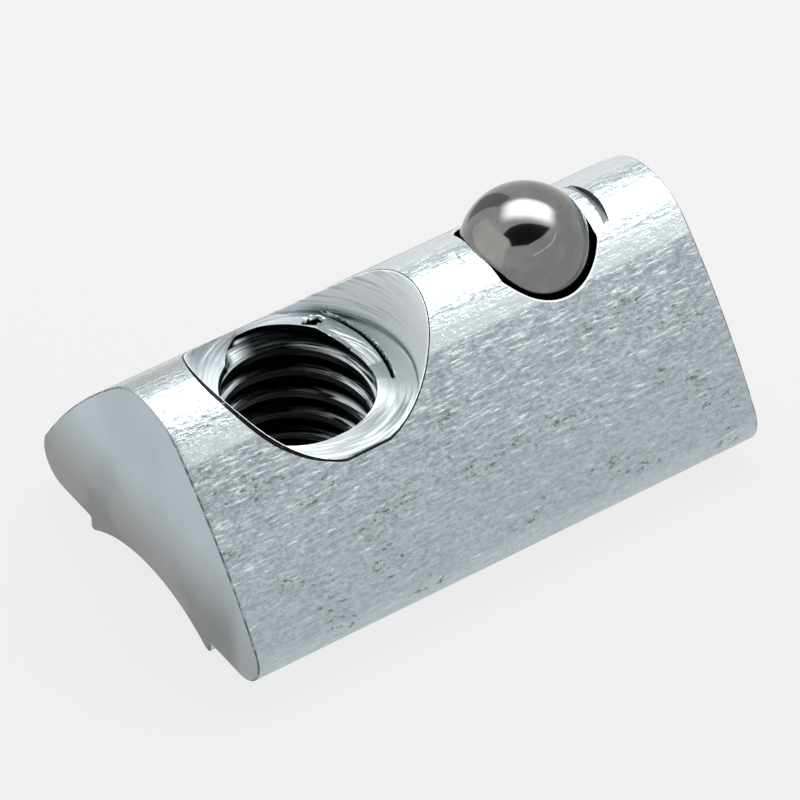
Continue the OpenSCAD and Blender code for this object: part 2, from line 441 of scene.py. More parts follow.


# %% [markdown]
# ## From the seat's rim to the mouth of the thread
#
# The sheet goes over the broken edge of the rim, down the wall, across the shelf and to the
# mouth. A strip of the skin outside the rim is darker, a hair wide and wider on the near
# left. An end mill's teeth are ground hollow, so the shelf rises a tenth towards the middle.
# The tap tore a ledge out of the shelf on the ball's side: its outer wall is a short spiral
# with a burr, and the metal slopes from there to the mouth. The rows are close enough for the
# shelf's height to follow it.

# %% Rim, wall and shelf
SHELF_RISE = 0.11
STRIP_WIDE, STRIP_MORE = 0.015, 0.11
RIM_EDGE = 0.07 + 0.05 * np.clip(-np.cos(turn - np.radians(25)), 0, 1)
near_left = ramp(np.degrees(turn), 165, 187) * ramp(np.degrees(turn), 246, 220)
strip_plan = round_plan(SEAT_X, rim_radius + RIM_EDGE + STRIP_WIDE + STRIP_MORE * near_left, turn)
strip_edge = onto(skin_height, strip_plan)
outer_edge = onto(skin_height, round_plan(SEAT_X, rim_radius + RIM_EDGE, turn))
tall = np.maximum(wall_height, 0)
drop_share = np.minimum(RIM_EDGE, 0.5 * tall) / np.maximum(tall, 1e-6)
inner_edge = seat_rim + (seat_foot - seat_rim) * np.clip(drop_share, 0, 1)[:, None]
mouth_radius = np.maximum(bore_radius(turn, SEAT_FLOOR), mouth_torn(signed_degrees(turn)))
mouth = lift(round_plan(HOLE_X, mouth_radius, turn), SEAT_FLOOR + SHELF_RISE)
lay(window_rows(seat_frame, strip_plan, skin_height, 18), DRAWN, closed=True)
bend = bend_rows(outer_edge, seat_rim, inner_edge, 5)
lay(np.concatenate([[strip_edge], bend[:3]]), DARKENED, closed=True)
lay(bend[2:], MILLED, closed=True)
lay(straight_rows(inner_edge, seat_foot, 14), MILLED, closed=True)
shelf = straight_rows(seat_foot, mouth, 48)

# %% The ledge that the tap tore out of the shelf
LEDGE_START, LEDGE_END = np.radians(48), np.radians(-28)
LEDGE_RADIUS, LEDGE_DEPTH, LEDGE_SLOPE = 3.8, 0.12, 0.1
DITCH_DEPTH, DITCH_WIDE = 0.24, 0.055
BURR_HEIGHT, BURR_WIDE = 0.06, 0.04
PIT_DEPTH, PIT_DEGREES, PIT_HALF = 0.6, 52, 4.5

def ledge_depth(points):
    """Depth of the torn ledge below the shelf. Its outer wall is a spiral round the seat's axis,
    whose radius shrinks from 4.8 to 3.8 as it turns clockwise, with a ditch at the wall's foot.
    Inside it the metal slopes down towards the mouth. A small burr is thrown up outside it, and
    where the tear began there is a small pit at the mouth's edge."""
    x, y = points[..., 0] - SEAT_X, points[..., 1]
    radius, angle = np.hypot(x, y), np.arctan2(y, x)
    share = (LEDGE_START - angle) / (LEDGE_START - LEDGE_END)
    from_wall = radius - LEDGE_RADIUS - ramp(share, 0.9, 0) ** 1.9
    depth = ramp(share, -0.09, 0.21) * ramp(share, 1, 0.75)
    fall = (LEDGE_DEPTH + LEDGE_SLOPE * ramp(from_wall, 0, -0.9)) * ramp(from_wall, 0, -0.06)
    along = ramp(share, 0, 0.03) * ramp(share, 1, 0.97)
    ditch = DITCH_DEPTH * np.exp(-((from_wall + 0.07) / DITCH_WIDE) ** 2) * ramp(share, 0, 0.1)
    uneven = 1 + np.sin(46 * angle + 9 * np.sin(7 * angle))
    burr = BURR_HEIGHT * np.exp(-((from_wall - 0.05) / BURR_WIDE) ** 2) * uneven
    off_pit = np.abs(np.degrees(angle) - PIT_DEGREES + 8 * (radius - 4))
    pit = ramp(off_pit, PIT_HALF, 0) * ramp(radius, 4.4, 4.0) * ramp(radius, 3.72, 3.82)
    return np.maximum(along * (depth * fall + ditch - burr), PIT_DEPTH * np.clip(3 * pit, 0, 1))

shelf[1:, :, 2] -= ledge_depth(shelf[1:])
lay(shelf, MILLED, closed=True)
print("mouth radius", mouth_radius.min().round(2), "to", mouth_radius.max().round(2))

# %% [markdown]
# ## The thread
#
# A screw modifier turned into a cutter would need a Boolean, and its run-out at both ends is
# a mess. The wall of a tapped hole is simply a radius for each angle and height, so it is one
# sheet whose rows follow the helix: each row climbs one pitch in one turn. Rows that would
# leave the hole stop at its mouth or at its lower rim, and the points that then coincide are
# merged.

# %% Threaded wall
ROWS_PER_PITCH = 22

def once_round(values):
    """Values round a ring, with the first one again at the end."""
    return np.append(values, values[0])

whole_turn = np.linspace(0, 2 * np.pi, RING + 1)
low, top = once_round(exit_rim[:, 2]), once_round(shelf[-1, :, 2])
row_count = int(np.ceil((SEAT_FLOOR - low.min()) / PITCH + 1) * ROWS_PER_PITCH)
climb = SEAT_FLOOR + PITCH * whole_turn / (2 * np.pi)
height = climb - np.arange(row_count + 1)[:, None] * PITCH / ROWS_PER_PITCH
height = np.clip(height, low, top)
wall = np.where(height > low, bore_radius(whole_turn, height), once_round(exit_radius))
wall = np.where(height < top, wall, once_round(mouth_radius))
lay(lift(round_plan(HOLE_X, wall, whole_turn), height), TAPPED)
lay(window_rows(hole_frame, exit_plan, groove_height, 14), DRAWN, closed=True)
print("thread:", height.shape, "points, from", low.min().round(2), "to", SEAT_FLOOR)

# %% [markdown]
# ## The ball's pocket, its lip and the punch mark
#
# A drill made the pocket, and a ring punch then pushed the ridge's metal inwards over the
# ball. The punch only reaches the metal along the ridge, so it leaves two crescents there. The
# pocket's profile is a radius for each height. Its rim is found by halving: at each angle the
# rim is where a point of the skin is as far out as the profile is at that point's height.

# %% Rim of the pocket
def pocket_radius_at(height):
    """Radius of the pocket at a height: straight wall, then the lip that leans inwards."""
    return np.interp(height, [LIP_FOOT, LIP_TOP], [POCKET_RADIUS, LIP_RADIUS])

BALL_RING = len(ball_frame)
ball_turn = np.linspace(0, 2 * np.pi, BALL_RING, endpoint=False)
inside, outside = np.full(BALL_RING, LIP_RADIUS - 0.1), np.full(BALL_RING, POCKET_RADIUS + 0.1)
for _ in range(40):
    middle = (inside + outside) / 2
    beyond = middle > pocket_radius_at(skin_height(middle * np.sin(ball_turn)))
    inside, outside = np.where(beyond, inside, middle), np.where(beyond, middle, outside)
pocket_rim_radius = (inside + outside) / 2
pocket_rim = onto(skin_height, round_plan(BALL_X, pocket_rim_radius, ball_turn))
LIP_EDGE = 0.036 + 0.06 * ramp(pocket_rim[:, 2], HEIGHT - 0.3, HEIGHT - 0.9)
print("pocket rim radius", pocket_rim_radius.min().round(3), "to", pocket_rim_radius.max().round(3))

# %% Punch mark, lip and pocket
def marked_height(plan):
    """Height of the skin with the punch mark in it: the lower of the skin and the mark's bottom,
    which leans up towards the ball and ends in an upright wall on the outer side. The punch
    stood a little askew, so the mark is deeper on the side away from the seat."""
    radius = np.hypot(plan[..., 0] - BALL_X, plan[..., 1])
    toward_seat = 0.5 - 0.5 * (plan[..., 0] - BALL_X) / radius
    floor_height = STAKE_FLOOR - 0.05 + 0.24 * toward_seat
    bottom = floor_height + np.maximum(STAKE_INNER - radius, 0) / STAKE_LEAN
    bottom = np.where(radius > STAKE_OUTER + 0.001, HEIGHT + 1, bottom)
    return np.minimum(skin_height(plan[..., 1]), bottom)

mark_radii = np.concatenate([[3.9, 3.8, STAKE_OUTER + 0.006, STAKE_OUTER],
                             np.linspace(3.67, 3.49, 4), [STAKE_INNER], np.linspace(3.435, 3.3, 5)])
rings_out = [round_plan(BALL_X, radius, ball_turn) for radius in mark_radii]
mark_plan = np.array(rings_out + [round_plan(BALL_X, pocket_rim_radius + LIP_EDGE, ball_turn)])
mark_rows = lift(mark_plan, marked_height(mark_plan))
sunk = skin_height(mark_plan[..., 1]) - mark_rows[..., 2]
sunk = np.concatenate([sunk, sunk[:, :1]], 1)
sunk = (sunk[:-1, :-1] + sunk[1:, :-1] + sunk[:-1, 1:] + sunk[1:, 1:]) / 4
away = np.cos(np.append(ball_turn[1:], 0) - np.pi / BALL_RING) > 0
lay(window_rows(ball_frame, mark_plan[0], skin_height, 16, crowd=1.3), DRAWN, closed=True)
# The sunk part of the punch mark, away from the seat, takes the darker edge finish.
lay(mark_rows, np.where((sunk > 0.004) & away, DARKENED, DRAWN).reshape(-1), closed=True)

below = pocket_rim[:, 2] - LIP_EDGE
pocket_inner = lift(round_plan(BALL_X, pocket_radius_at(below), ball_turn), below)
# Painted highlight: the lip's broken edge takes the seat's finish, which is painted near white this
# high up, for a glint round the rim.
lay(bend_rows(mark_rows[-1], pocket_rim, pocket_inner, 4), MILLED, closed=True)
wall_rows = below - (below - POCKET_FLOOR) * (np.linspace(0, 1, 26)[:, None] ** 1.5)
wall_plan = round_plan(BALL_X, pocket_radius_at(wall_rows), ball_turn)
# Painted shade: the pocket's wall and its drilled point take the thread's near-black finish.
lay(lift(wall_plan, wall_rows), TAPPED, closed=True)
point_radii = POCKET_RADIUS * np.linspace(1, 0, 14)[:, None]
point_heights = POCKET_FLOOR - DRILL_SLOPE * (POCKET_RADIUS - point_radii)
lay(lift(round_plan(BALL_X, point_radii, ball_turn), point_heights), TAPPED, closed=True)
print("sheets of the body:", len(sheets))

# %% [markdown]
# ## One closed skin
#
# The sheets are put end to end as plain arrays and their shared border points merged. Faces
# that have shrunk to nothing go, normals are turned outwards, and every edge is counted: on a
# closed body each one has exactly two faces. Edges of more than 32 degrees stay sharp.

# %% Sew the sheets and check that the body is closed
MERGE, EMPTY = 3e-7, 1e-7
SHARP = np.radians(32)

def make_object(name, points, faces, body, materials, zones=None):
    """A mesh object from points in millimetres. Points closer than a third of a micron are
    merged, empty faces dropped and normals turned outwards. Sharp edges stay sharp."""
    mesh = bpy.data.meshes.new(name)
    mesh.from_pydata((points * MM).tolist(), [], faces)
    mesh.update()
    for material in materials:
        mesh.materials.append(material)
    if zones is not None:
        mesh.polygons.foreach_set("material_index", zones.astype(np.int32))
    work = bmesh.new()
    work.from_mesh(mesh)
    bmesh.ops.remove_doubles(work, verts=work.verts, dist=MERGE)
    bmesh.ops.dissolve_degenerate(work, dist=EMPTY, edges=work.edges)
    bmesh.ops.recalc_face_normals(work, faces=work.faces)
    open_edges = sum(1 for edge in work.edges if len(edge.link_faces) != 2)
    volume = work.calc_volume(signed=True) / MM ** 3
    for face in work.faces:
        face.smooth = True
    for edge in work.edges:
        if len(edge.link_faces) == 2:
            edge.smooth = bool(edge.calc_face_angle(0) < SHARP)
    triangles = sum(len(face.verts) - 2 for face in work.faces)
    work.to_mesh(mesh)
    work.free()
    piece = bpy.data.objects.new(name, mesh)
    bpy.context.scene.collection.objects.link(piece)
    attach(piece, body)
    print(name, "triangles", triangles, "open edges", open_edges, "volume mm3", round(volume, 1))
    return piece

# %% [markdown]
# ## Finishes
#
# Every finish here is bare or plated metal, so each one is a metallic shader whose colour and
# roughness vary. The marks follow the tool that made them: lines along the bar where it was
# drawn, a fine even grain where it was sawn, rings round the screw's axis where it was milled.
# They are computed from places on the object, in millimetres, so they keep their true size.
# A picture of steel would repeat, and it would go soft at this distance.

# %% Helpers for building a finish
def plug(target, value):
    """Fills an input with a node's output or with a value. The helpers all work on the tree
    that is being built, which is the script's own variable of that name."""
    if isinstance(value, bpy.types.NodeSocket):
        tree.links.new(value, target)
    else:
        target.default_value = (*value, 1) if target.type == "RGBA" else value

def add(kind, values=None, **settings):
    """A node of the given kind. values fills its sockets, with a value or another socket."""
    made = tree.nodes.new(kind)
    for key, value in settings.items():
        setattr(made, key, value)
    for socket, value in (values or {}).items():
        plug(made.inputs[socket], value)
    return made

def maths(operation, first, second=0.0):
    """One sum, product, larger of two or the like, from sockets or numbers."""
    return add("ShaderNodeMath", {0: first, 1: second}, operation=operation).outputs[0]

def sum_of(*parts):
    """Sum of a few sockets, each with its weight."""
    total = None
    for socket, weight in parts:
        scaled = maths("MULTIPLY", socket, weight)
        total = scaled if total is None else maths("ADD", total, scaled)
    return total

def xyz(vector):
    """The three parts of a vector, as sockets."""
    return tuple(add("ShaderNodeSeparateXYZ", {0: vector}).outputs)

def share_of(*parts):
    """A share from 0 to 1, as the product of its parts. A part is a share itself, or a value
    with the two places between which a smooth step goes from 0 to 1."""
    total = None
    for part in parts:
        if isinstance(part, tuple):
            value, low, high = part
            part = add("ShaderNodeMapRange",
                       {"Value": value, "From Min": low, "From Max": high},
                       interpolation_type="SMOOTHSTEP").outputs["Result"]
        total = part if total is None else maths("MULTIPLY", total, part)
    return total

def spread(grains, low, high):
    """A noise, most of which lies between 0.3 and 0.7, spread over low to high."""
    return add("ShaderNodeMapRange", {"Value": grains, "From Min": 0.3, "From Max": 0.7,
                                      "To Min": low, "To Max": high}).outputs["Result"]

def blend(share, first, second):
    """A colour that goes from the first to the second as the share goes from 0 to 1."""
    made = add("ShaderNodeMix", data_type="RGBA")
    for name, value in (("Factor_Float", share), ("A_Color", first), ("B_Color", second)):
        plug(next(s for s in made.inputs if s.identifier == name), value)
    return next(s for s in made.outputs if s.identifier == "Result_Color")

def layered(colour, *layers):
    """A colour with others laid over it in turn. A layer is its cover from 0 to 1, its colour
    and the parts of the share that says where it lies."""
    for cover, paint, *parts in layers:
        colour = blend(maths("MULTIPLY", share_of(*parts), cover), colour, paint)
    return colour

def noise(place, scale, detail=3.0, rough=0.55):
    """Noise whose grains are stretched by 1/scale in each direction."""
    if isinstance(scale, (int, float)):
        scale = (scale, scale, scale)
    stretched = add("ShaderNodeMapping", {"Vector": place, "Scale": scale})
    return add("ShaderNodeTexNoise", {"Vector": stretched.outputs["Vector"], "Scale": 1.0,
                                      "Detail": detail, "Roughness": rough}).outputs["Fac"]

def metal(name):
    """Starts the tree of a metallic material. Returns the material and the place on the object
    in millimetres."""
    global tree
    material = bpy.data.materials.new(name)
    material.use_nodes = True
    tree = material.node_tree
    plug(tree.nodes["Principled BSDF"].inputs["Metallic"], 1.0)
    here = add("ShaderNodeTexCoord").outputs["Object"]
    place = add("ShaderNodeMapping", {"Vector": here, "Scale": (1 / MM, 1 / MM, 1 / MM)})
    return material, place.outputs["Vector"]

def dress(colour, roughness, relief=None, depth_mm=0.0):
    """Gives the shader its colour, its roughness and, from a height of 0 to 1, its relief."""
    shader = tree.nodes["Principled BSDF"]
    plug(shader.inputs["Base Color"], colour)
    plug(shader.inputs["Roughness"], roughness)
    if relief is not None:
        bump = add("ShaderNodeBump", {"Height": relief, "Distance": depth_mm * MM})
        plug(shader.inputs["Normal"], bump.outputs["Normal"])

NEAR_BLACK = (0.012, 0.013, 0.014)
print("helpers ready")

# %% [markdown]
# ## Zinc plate over drawn steel
#
# The die leaves short bright scratches along the bar, each a tenth of a millimetre wide, and
# the plating grows over them as a fine grain. Here and there the passivation left a brownish
# fleck in the low places. Noises make these: long thin grains for the scratches, small round
# ones for the plate and a slow one that says where the flecks gather. A band over the ridge's
# shoulders and the ridge's far side carry a painted highlight, and the skin is calmer and paler
# towards the wing tips.

# %% Drawn skin
drawn, place = metal("zinc plate, drawn")
x, y, z = xyz(place)
scratches = noise(place, (1.2, 8.0, 8.0), detail=4.0, rough=0.6)
fine_lines = noise(place, (4.0, 20.0, 20.0), detail=2.0)
grain = noise(place, (4.0, 6.0, 6.0), rough=0.65)
patches = noise(place, (0.25, 0.6, 0.6), detail=2.0)
flecks = noise(place, (2.2, 5.0, 5.0), detail=4.0, rough=0.72)
tone = sum_of((scratches, 0.38), (fine_lines, 0.17), (grain, 0.45))
scratched = sum_of((share_of((z, 2.0, 10.5)), 0.1), (scratches, 1.0))
colour = layered(
    (0.27, 0.315, 0.34),
    (1.0, (0.54, 0.605, 0.635), (tone, 0.36, 0.62)),
    (0.4, (0.41, 0.466, 0.493), (z, 7.5, 3.5)),
    (1.0, (0.78, 0.84, 0.855), (scratched, 0.66, 0.73)),
    (0.4, (0.6, 0.665, 0.69), (z, 2.9, 1.9)),
    (1.0, (0.18, 0.18, 0.162), (flecks, 0.54, 0.64), (patches, 0.52, 0.62)),
    # Painted highlight: a lighter band over the ridge's shoulders, set by height, and the ridge's
    # far side lighter still.
    (0.62, (0.8, 0.86, 0.875), (z, 9.4, 9.62), (z, 10.42, 10.15)),
    (0.75, (0.88, 0.93, 0.94), (y, 0.4, 1.3), (z, 9.9, 10.5)))
dress(colour, spread(tone, 0.36, 0.22), tone, 0.06)
print("drawn skin:", len(tree.nodes), "nodes")

# %% [markdown]
# ## The other surfaces of the body
#
# The sawn ends took the plate evenly, so they are calm, with a slow drift of tone and painted
# shade, with a warm tint, low down. The milled seat shines in rings round its own axis: fine
# scores on the wall, streaks on the near lip. Its wall is painted near white as painted light,
# and the ditch and the shelf's near right carry painted shade. In the thread the crests that
# face up on either side and the first turn carry a painted highlight, and the rest is near
# black. The broken edges carry a thin dark line.

# %% Sawn ends
sawn, place = metal("zinc plate, sawn")
x, y, z = xyz(place)
drift = noise(place, 0.22, detail=2.0)
grain = noise(place, 14.0, detail=2.0)
WING_TONE = (0.6, 0.665, 0.7)
# Painted shade with a warm tint: the ends are darker low down.
warm_low_shade = layered((0.2, 0.206, 0.2), (1.0, (0.275, 0.265, 0.256), (drift, 0.4, 0.56)))
colour = layered(
    (0.43, 0.485, 0.52),
    (1.0, (0.51, 0.565, 0.605), (drift, 0.35, 0.65)),
    (1.0, (0.47, 0.53, 0.565), (grain, 0.25, 0.75)),
    (0.9, warm_low_shade, (z, 6.8, 1.3)),
    (0.4, WING_TONE, (y, 1.5, 6.0), (z, 5.0, 7.5)),
    (0.35, WING_TONE, (y, -6.0, -7.3)))
dress(colour, 0.42, grain, 0.004)

# %% Rings round an upright axis
def round_axis(place, axis_x):
    """Angle, radius and height of a place round an upright axis on the bar's middle line."""
    x, y, z = xyz(place)
    across = maths("SUBTRACT", x, axis_x)
    flat = add("ShaderNodeCombineXYZ", {"X": across, "Y": y}).outputs[0]
    radius = add("ShaderNodeVectorMath", {0: flat}, operation="LENGTH").outputs["Value"]
    return maths("ARCTAN2", y, across), radius, z

def rings(place, axis_x, wide, fine):
    """Noise that is fine across the radius and the height, and long round the turn."""
    angle, radius, height = round_axis(place, axis_x)
    around = add("ShaderNodeCombineXYZ", {"X": angle, "Y": radius, "Z": height}).outputs[0]
    return noise(around, (wide, fine, fine))

# %% Milled seat
milled, place = metal("zinc plate, milled")
x, y, z = xyz(place)
marks = rings(place, SEAT_X, 1.6, 7.0)
clouds = noise(place, 0.5, detail=2.0)
side_wall = share_of((z, 7.75, 8.1))
near_lip = share_of((y, -2.2, -3.5), (z, 8.0, 7.85))
lip_streaks = share_of(near_lip, (marks, 0.6, 0.42))
colour = layered(
    (0.52, 0.575, 0.605),
    (1.0, (0.72, 0.78, 0.805), (marks, 0.35, 0.65)),
    (1.0, (0.64, 0.705, 0.735), (clouds, 0.35, 0.7)),
    # Painted light: everything of this finish above the shelf, the seat's wall first, is painted
    # near white.
    (0.92, (0.95, 0.98, 0.985), side_wall),
    (0.45, (0.42, 0.46, 0.48), side_wall, (marks, 0.52, 0.38), (y, -1.5, 2.5)),
    # Painted shade: the shelf on the near right is painted darker, where it would mirror the panel.
    (0.95, (0.31, 0.338, 0.352), (x, -2.9, -1.7), (y, -3.8, -2.0), (z, 7.95, 7.8)),
    (0.6, (0.26, 0.285, 0.3), (y, 2.6, 3.8), (x, -4.8, -6.4)),
    (1.0, (0.11, 0.12, 0.127), sum_of((near_lip, 0.55), (lip_streaks, 0.38))),
    # Painted shade: the ditch at the foot of the torn ledge is painted near black.
    (1.0, NEAR_BLACK, (z, 7.57, 7.5)))
near_and_far = sum_of((share_of((y, -2.2, -4.2)), 1.0), (share_of((y, 1.5, 3.5)), 0.5))
streaks = share_of(near_and_far, (marks, 0.35, 0.6))
rougher = sum_of((streaks, 0.16), (near_and_far, 0.04), (side_wall, 0.45))
dress(colour, maths("ADD", rougher, 0.15), marks, 0.012)

# %% Thread
tapped, place = metal("tapped thread, oily")
x, y, z = xyz(place)
lines = rings(place, HOLE_X, 1.5, 9.0)
facing_up = xyz(add("ShaderNodeNewGeometry").outputs["Normal"])[2]
aside = maths("ABSOLUTE", maths("SUBTRACT", x, HOLE_X + 0.6))
reach = round_axis(place, HOLE_X)[1]
# Painted highlight: the crests that face up on either side of the hole, and the first turn, are
# painted light.
crest_highlight = share_of((facing_up, 0.2, 0.5), (lines, 0.42, 0.56), (aside, 0.8, 2.6),
                 (reach, MINOR_RADIUS + 0.32, MINOR_RADIUS + 0.12))
first_turn_highlight = share_of((z, 6.3, 6.6), (x, -5.2, -7.6), (facing_up, 0.1, 0.4))
colour = layered(
    (0.004, 0.005, 0.005),
    (1.0, (0.03, 0.033, 0.035), (lines, 0.45, 0.8)),
    (1.0, (0.6, 0.66, 0.69), maths("MAXIMUM", crest_highlight, first_turn_highlight)))
dress(colour, 0.3, lines, 0.02)

# %% Darkened edges
darkened_edges, place = metal("bruised edge")
x, y, z = xyz(place)
breaks = noise(place, 2.6, detail=4.0, rough=0.7)
whole = maths("MAXIMUM", share_of((breaks, 0.42, 0.66)), share_of((z, 10.0, 10.7)))
at_ends = blend(whole, (0.13, 0.138, 0.14), (0.4, 0.45, 0.47))
colour = layered(
    NEAR_BLACK,
    (1.0, (0.3, 0.33, 0.34), (breaks, 0.62, 0.72)),
    (1.0, (0.17, 0.18, 0.183), (x, 8.0, 8.5)),
    (1.0, at_ends, (maths("ABSOLUTE", x), 12.7, 12.9)))
dress(colour, 0.45)
body_finishes = [drawn, sawn, milled, tapped, darkened_edges]
print("body finishes:", " | ".join(material.name for material in body_finishes))

# %% The body as one object
counts = np.cumsum([0] + [len(s[0]) for s in sheets])
body_points = np.concatenate([s[0] for s in sheets] + [np.array(e) for e in ends])
faces = [quad for (_, quads, _), first in zip(sheets, counts) for quad in (quads + first).tolist()]
zones = np.concatenate([np.broadcast_to(zone, len(quads)) for _, quads, zone in sheets]).tolist()
for number, end in enumerate(ends):
    first = counts[-1] + number * len(end)
    faces.append(list(range(first, first + len(end))))
    zones.append(SAWN)
body = make_object("nut_body_finished", body_points, faces, "nut",
                   body_finishes, np.array(zones))
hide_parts("nut_body")

# %% [markdown]
# ## The ball
#
# The frame's ball is cut into flats that a mirror finish would show at once. A subdivided cube
# or Blender's own sphere would do too, but the formula is one line: rings of latitude, each a
# circle whose radius is the sine of its angle from the top. It is hardened steel, polished and
# then tumbled, so the reflections are a little soft and its tone is darker and warmer than the
# zinc round it. Tumbling leaves a faint haze over the polish, so a little of the light goes to a
# second, rougher lobe, which gives the glow round the highlight.

# %% Polished ball
def ball_sheet(centre, radius, rings_down, round_count):
    """A sphere as one closed sheet: each row is a circle of radius times the sine of the row's
    angle from the top, at a height of radius times its cosine."""
    down = np.linspace(0, np.pi, rings_down + 1)[:, None]
    around = np.linspace(0, 2 * np.pi, round_count + 1)[None, :]
    return np.stack([centre[0] + radius * np.sin(down) * np.cos(around),
                     centre[1] + radius * np.sin(down) * np.sin(around),
                     centre[2] + radius * np.cos(down) + 0 * around], -1)

polished, place = metal("polished ball steel")
haze = noise(place, 0.6)
specks = noise(place, 3.2, detail=4.0, rough=0.7)
colour = layered(
    (0.205, 0.205, 0.2),
    (1.0, (0.26, 0.26, 0.255), (haze, 0.35, 0.65)),
    (1.0, (0.15, 0.148, 0.14), (specks, 0.66, 0.72)))
dress(colour, spread(haze, 0.06, 0.11))
TUMBLED = 0.04
tumbled = add("ShaderNodeBsdfPrincipled",
              {"Base Color": colour, "Metallic": 1.0, "Roughness": 0.42})
both = add("ShaderNodeMixShader", {0: TUMBLED, 1: tree.nodes["Principled BSDF"].outputs[0],
                                   2: tumbled.outputs[0]})
plug(tree.nodes["Material Output"].inputs["Surface"], both.outputs[0])
ball_points = ball_sheet(BALL_CENTRE, BALL_RADIUS, 96, 192)
ball = make_object("detent_ball_polished", ball_points.reshape(-1, 3),
                   quads_of(ball_points).tolist(), "ball", [polished])
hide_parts("detent_ball")

# %% [markdown]
# ## The spring
#
# A wire wound on a mandrel, closed at both ends so that it stands straight on the drilled
# point and under the ball. A curve object with a bevel would give the tube, but its ends and
# its pitch would be harder to pin down. Here each point is the coil's circle plus the wire's
# own circle, and the height follows the turns: slow, fast, slow. When the ball goes down, the
# spring has to shorten.

# %% Coil spring
spring_low, spring_high = (np.array(corner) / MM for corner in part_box("ball_spring"))
WIRE_RADIUS, COIL_RADIUS, OPEN_TURNS, CLOSED_PITCH = 0.2, 2.3, 3, 0.42
WIRE_POINT = 0.05
TURNS = OPEN_TURNS + 2
foot = spring_low[2] + WIRE_RADIUS
room = spring_high[2] - WIRE_RADIUS - foot
OPEN_PITCH = (room - 2 * CLOSED_PITCH) / OPEN_TURNS

def wire_sheet(steps, sides):
    """The wire's skin: the coil's circle, plus the wire's radius times the cosine outwards and
    the sine upwards. The height climbs one closed pitch, the open turns, one closed pitch."""
    turns = np.linspace(0, TURNS, steps + 1)[:, None]
    round_wire = np.linspace(0, 2 * np.pi, sides + 1)[None, :]
    levels = foot + np.cumsum([0, CLOSED_PITCH, OPEN_TURNS * OPEN_PITCH, CLOSED_PITCH])
    climb = np.interp(turns, [0, 1, TURNS - 1, TURNS], levels)
    from_end = np.minimum(turns, TURNS - turns) * 2 * np.pi * COIL_RADIUS
    thick = WIRE_RADIUS * np.sqrt(np.clip(from_end / WIRE_POINT, 0, 1))
    reach = COIL_RADIUS + thick * np.cos(round_wire)
    return np.stack([BALL_X + reach * np.cos(2 * np.pi * turns), reach * np.sin(2 * np.pi * turns),
                     climb + thick * np.sin(round_wire)], -1)

wire, place = metal("spring wire")
drawn_marks = noise(place, (3.0, 3.0, 12.0), detail=2.0)
colour = layered((0.36, 0.36, 0.35), (1.0, (0.5, 0.5, 0.49), (drawn_marks, 0.35, 0.65)))
dress(colour, 0.25)
wire_points = wire_sheet(420, 20)
spring = make_object("ball_spring_wound", wire_points.reshape(-1, 3),
                     quads_of(wire_points).tolist(), "nut", [wire])
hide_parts("ball_spring")
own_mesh(spring)

# %% [markdown]
# ## Light and backdrop
#
# The picture is a catalogue shot: a pale sweep, one broad soft light above, and something dark
# over the camera, which the ball shows. Polished metal is
# only as good as what it reflects, so the light is a large panel whose glow fades at its
# borders. A small lamp would give a hard spot. The floor and the world show one pale grey.
# A pale board, a bright seam and a dim corner stand where the ball and the ridge mirror them.
# The camera doesn't see them, and they throw no shadow. Lengths here are in metres.

# %% World
PALE = (0.879, 0.879, 0.879)
world = bpy.data.worlds.new("pale studio")
bpy.context.scene.world = world
world.use_nodes = True
tree = world.node_tree
plain = tree.nodes["Background"]
plug(plain.inputs["Color"], (0.9, 0.91, 0.93))
plug(plain.inputs["Strength"], 0.55)
seen = add("ShaderNodeBackground", {"Color": PALE, "Strength": 1.0})
ray = add("ShaderNodeLightPath")
either = maths("MAXIMUM", ray.outputs["Is Camera Ray"], ray.outputs["Is Glossy Ray"])
either = maths("MAXIMUM", either, ray.outputs["Is Transmission Ray"])
mix = add("ShaderNodeMixShader", {0: either, 1: plain.outputs[0], 2: seen.outputs[0]})
plug(tree.nodes["World Output"].inputs["Surface"], mix.outputs[0])

# %% Sheets of the studio, and the floor
SQUARE = ((-1, -1), (1, -1), (1, 1), (-1, 1))
FLOOR_HALF, FLOOR_LEVEL = 3, -0.00002

def flat_sheet(name, corners):
    """A flat piece of the studio from its corners in metres, which isn't part of the object."""
    mesh = bpy.data.meshes.new(name)
    mesh.from_pydata([tuple(c) for c in corners], [], [list(range(len(corners)))])
    made = bpy.data.objects.new(name, mesh)
    bpy.context.scene.collection.objects.link(made)
    return made

def coat(piece, name):
    """Starts the tree of a new material on a piece of the studio."""
    global tree
    material = bpy.data.materials.new(name)
    material.use_nodes = True
    tree = material.node_tree
    piece.data.materials.append(material)

def glow(colour, strength, also=None):
    """Makes a material give off light, on top of what another shader does. The usual shader
    goes."""
    tree.nodes.remove(tree.nodes["Principled BSDF"])
    surface = add("ShaderNodeEmission", {"Color": colour, "Strength": strength}).outputs[0]
    if also is not None:
        surface = add("ShaderNodeAddShader", {0: also.outputs[0], 1: surface}).outputs[0]
    plug(tree.nodes["Material Output"].inputs["Surface"], surface)

floor = flat_sheet("floor", [(a * FLOOR_HALF, b * FLOOR_HALF, FLOOR_LEVEL) for a, b in SQUARE])
coat(floor, "pale paper")
glow(PALE, 0.92, add("ShaderNodeBsdfDiffuse", {"Color": (0.06, 0.06, 0.06)}))

